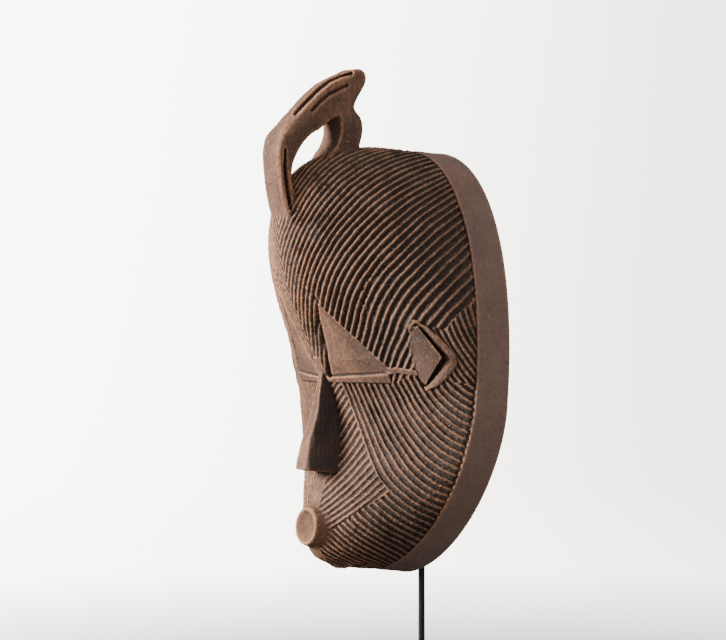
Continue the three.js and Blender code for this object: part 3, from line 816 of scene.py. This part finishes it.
def plastic_material(name, dark, light, rough):
    n = Nodes(name)
    cloud = n.noise(220, 4, 0.6)
    color = n.mix(n.range(cloud, 0.35, 0.7), dark, light)
    return n.finish(color, n.range(cloud, 0.3, 0.7, rough - 0.06, rough + 0.08), n.bump(cloud, 0.00008, 0.6))


# ---------------------------------------------------------------- the object's pieces

def stands_for(piece, node, body, look):
    """Gives a piece its material and puts it in a CAD node's place."""
    piece.data.materials.append(look)
    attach(piece, body)
    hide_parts(node)


def felt_sheet(look):
    """A square of felt under the base plate, cut by hand."""
    low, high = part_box("felt_sheet")
    half = 500 * (high.x - low.x)
    top = 1000 * (high.z - low.z)
    rings = [(0, 0), (0.4 * half, 0), (0.8 * half, 0), (half - 2, 0), (half - 0.5, 0.15), (half, 0.7),
             (half - 0.1, top - 0.6), (half - 0.6, top - 0.1), (half - 2, top), (0.8 * half, top),
             (0.4 * half, top), (0, top)]
    middle = ((low.x + high.x) / 2, (low.y + high.y) / 2, low.z + 0.0003)
    sheet = turned("felt_sheet_cut", rings, middle, (0, 0, 1), corner=38, around=640, uneven=0.22)
    stands_for(sheet, "felt_sheet", "stand", look)


def stand_off_pad(look):
    """The round pad on the end of the stand-off peg."""
    low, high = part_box("stand_off_pad")
    radius, thick = 500 * (high.x - low.x), 1000 * (high.y - low.y)
    rings = [(0, 0), (0.6 * radius, 0), (radius - 0.5, 0.05), (radius - 0.1, 0.4), (radius + 0.1, thick / 2),
             (radius - 0.1, thick - 0.4), (radius - 0.6, thick - 0.05), (0.6 * radius, thick), (0, thick)]
    middle = ((low.x + high.x) / 2, high.y, (low.z + high.z) / 2)
    pad = turned("stand_off_pad_felt", rings, middle, (0, -1, 0), uneven=0.12)
    stands_for(pad, "stand_off_pad", "upright", look)


def sleeve(side, look):
    """Soft tubing over one prong of the hanger."""
    low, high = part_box("sleeve_" + side)
    outer, wall = 500 * (high.x - low.x), 1.75
    long = (1000 * (high.y - low.y) - 2 * outer * math.sin(LEAN)) / math.cos(LEAN)
    bore = outer - wall
    rings = [(bore, 0.3), (bore + 0.3, 0), (outer - 0.4, 0)]
    rings += [(outer, s) for s in np.linspace(0.5, long - 0.5, 22)]
    rings += [(outer - 0.4, long), (bore + 0.3, long), (bore, long - 0.3), (bore, 0.3)]
    axis = Vector((0, -math.cos(LEAN), math.sin(LEAN)))
    start = (low + high) / 2 - axis * long / 2000
    tube = turned("rubber_sleeve_" + side, rings, start, axis, around=48, uneven=0.10)
    stands_for(tube, "sleeve_" + side, "upright", look)


stands_for(carved_mask(), "mask", "carving", wood_material())

felt = felt_material()
felt_sheet(felt)
stand_off_pad(felt)
rubber = plastic_material("sleeve", srgb(30, 29, 28), srgb(52, 50, 48), 0.7)
for side in ("right", "left"):
    sleeve(side, rubber)

black = steel_material("black_steel", srgb(20, 20, 21), srgb(44, 43, 43), 0.55, 0.42)
zinc = steel_material("zinc_steel", srgb(120, 120, 118), srgb(176, 175, 170), 0.9, 0.34)
nylon = plastic_material("nylon", srgb(206, 200, 188), srgb(226, 221, 210), 0.55)
LOOKS = {"base_plate": black, "post_collar": black, "post": black, "hanger_bar": black,
         "stand_off_peg": black, "thumb_screw": zinc, "collar_screw_1": zinc, "collar_screw_2": zinc,
         "collar_screw_3": zinc, "thumb_washer": nylon}
for name, look in LOOKS.items():
    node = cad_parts[name]
    node.data.materials.clear()
    node.data.materials.append(look)

# ---------------------------------------------------------------- backdrop, lights and camera

def backdrop():
    """A pale studio floor that curves up into a wall all round, in metres; away from the middle the paper
    glows, with painted light that falls off from one side to the other.
    """
    floor, bend = 3.0, 1.4
    profile = [(0.0, 0.0), (0.7, 0.0), (1.4, 0.0), (2.2, 0.0), (floor, 0.0)]
    profile += [(floor + bend * math.sin(a), bend - bend * math.cos(a))
                for a in np.linspace(0, math.pi / 2, 14)[1:]]
    profile += [(4.4, 3.0), (4.0, 5.0), (2.0, 6.2), (0.0, 6.4)]
    around = 96
    turn = np.linspace(0, 2 * math.pi, around, endpoint=False)
    points = np.array([(r * math.cos(a), r * math.sin(a), z - 0.0005) for r, z in profile for a in turn])
    room = add_mesh("backdrop", points, ring_faces(len(profile), around))
    n = Nodes("backdrop_paper")
    n.finish(n.mix(n.range(n.noise(3, 2), 0.3, 0.7), srgb(236, 235, 231), srgb(240, 239, 235)), 0.95)
    x, y, z = n.place_axes()
    out = n.math("POWER", n.math("ADD", n.math("MULTIPLY", x, x), n.math("MULTIPLY", y, y)), 0.5)
    # the paper away from the middle glows with painted light, hidden from the mask's own rays below
    glow = n.tree.nodes.new("ShaderNodeEmission")
    glow.inputs["Strength"].default_value = 9.0
    # painted light: the glow falls off from the lit side to the other, and a little towards the floor
    side = n.math("ADD", n.math("MULTIPLY", x, 0.57), n.math("MULTIPLY", y, 0.82))
    side = n.math("SUBTRACT", side, n.math("MULTIPLY", z, 0.15))
    bright, dim = (0.98, 0.98, 0.96, 1), (0.46, 0.44, 0.40, 1)
    n.link(n.mix(n.range(side, -0.8, 0.55), bright, dim), glow.inputs["Color"])
    blend = n.tree.nodes.new("ShaderNodeMixShader")
    n.link(n.range(out, 0.3, 1.2), blend.inputs[0])
    n.link(n.shader.outputs[0], blend.inputs[1])
    n.link(glow.outputs[0], blend.inputs[2])
    n.link(blend.outputs[0], n.tree.nodes["Material Output"].inputs["Surface"])
    room.data.materials.append(n.material)
    room.visible_diffuse = False
    room.visible_glossy = False
    room.visible_shadow = False


def room_light():
    """Even light from all round, weaker from below, where it comes off the floor."""
    world = bpy.data.worlds.new("room")
    world.use_nodes = True
    tree = world.node_tree
    back = tree.nodes["Background"]
    back.inputs["Strength"].default_value = 0.5
    place = tree.nodes.new("ShaderNodeTexCoord")
    split = tree.nodes.new("ShaderNodeSeparateXYZ")
    ramp = tree.nodes.new("ShaderNodeMapRange")
    tree.links.new(place.outputs["Generated"], split.inputs[0])
    tree.links.new(split.outputs[2], ramp.inputs["Value"])
    for key, number in (("From Min", -0.3), ("From Max", 0.4), ("To Min", 0.6), ("To Max", 1.0)):
        ramp.inputs[key].default_value = number
    tree.links.new(ramp.outputs["Result"], back.inputs["Color"])
    bpy.context.scene.world = world


def area_light(name, place, target, size, power, color=(1, 1, 1)):
    light = bpy.data.lights.new(name, "AREA")
    light.shape = "DISK"
    light.size = size
    light.energy = power
    light.color = color
    lamp = bpy.data.objects.new(name, light)
    lamp.location = place
    lamp.rotation_euler = (Vector(target) - Vector(place)).to_track_quat("-Z", "Y").to_euler()
    bpy.context.scene.collection.objects.link(lamp)


backdrop()
area_light("key", (-0.95, -2.15, 1.0), (0, -0.1, 0.35), 1.0, 195, (1.0, 0.97, 0.93))
area_light("fill", (2.7, -0.3, 1.2), (0, -0.1, 0.3), 2.2, 14)
area_light("top", (0.2, -0.1, 2.4), (0, 0, 0.3), 1.6, 8)
room_light()

AZIMUTH = math.radians(55.4)
TARGET, DISTANCE = Vector((0, -0.065, 0.3397)), 2.4
camera_data = bpy.data.cameras.new("camera")
camera_data.sensor_width = 36
camera_data.lens = 132.2
camera_data.clip_end = 30
camera = bpy.data.objects.new("camera", camera_data)
camera.location = TARGET + DISTANCE * Vector((math.sin(AZIMUTH), -math.cos(AZIMUTH), 0))
camera.rotation_euler = (math.pi / 2, 0, AZIMUTH)
bpy.context.scene.collection.objects.link(camera)
bpy.context.scene.camera = camera
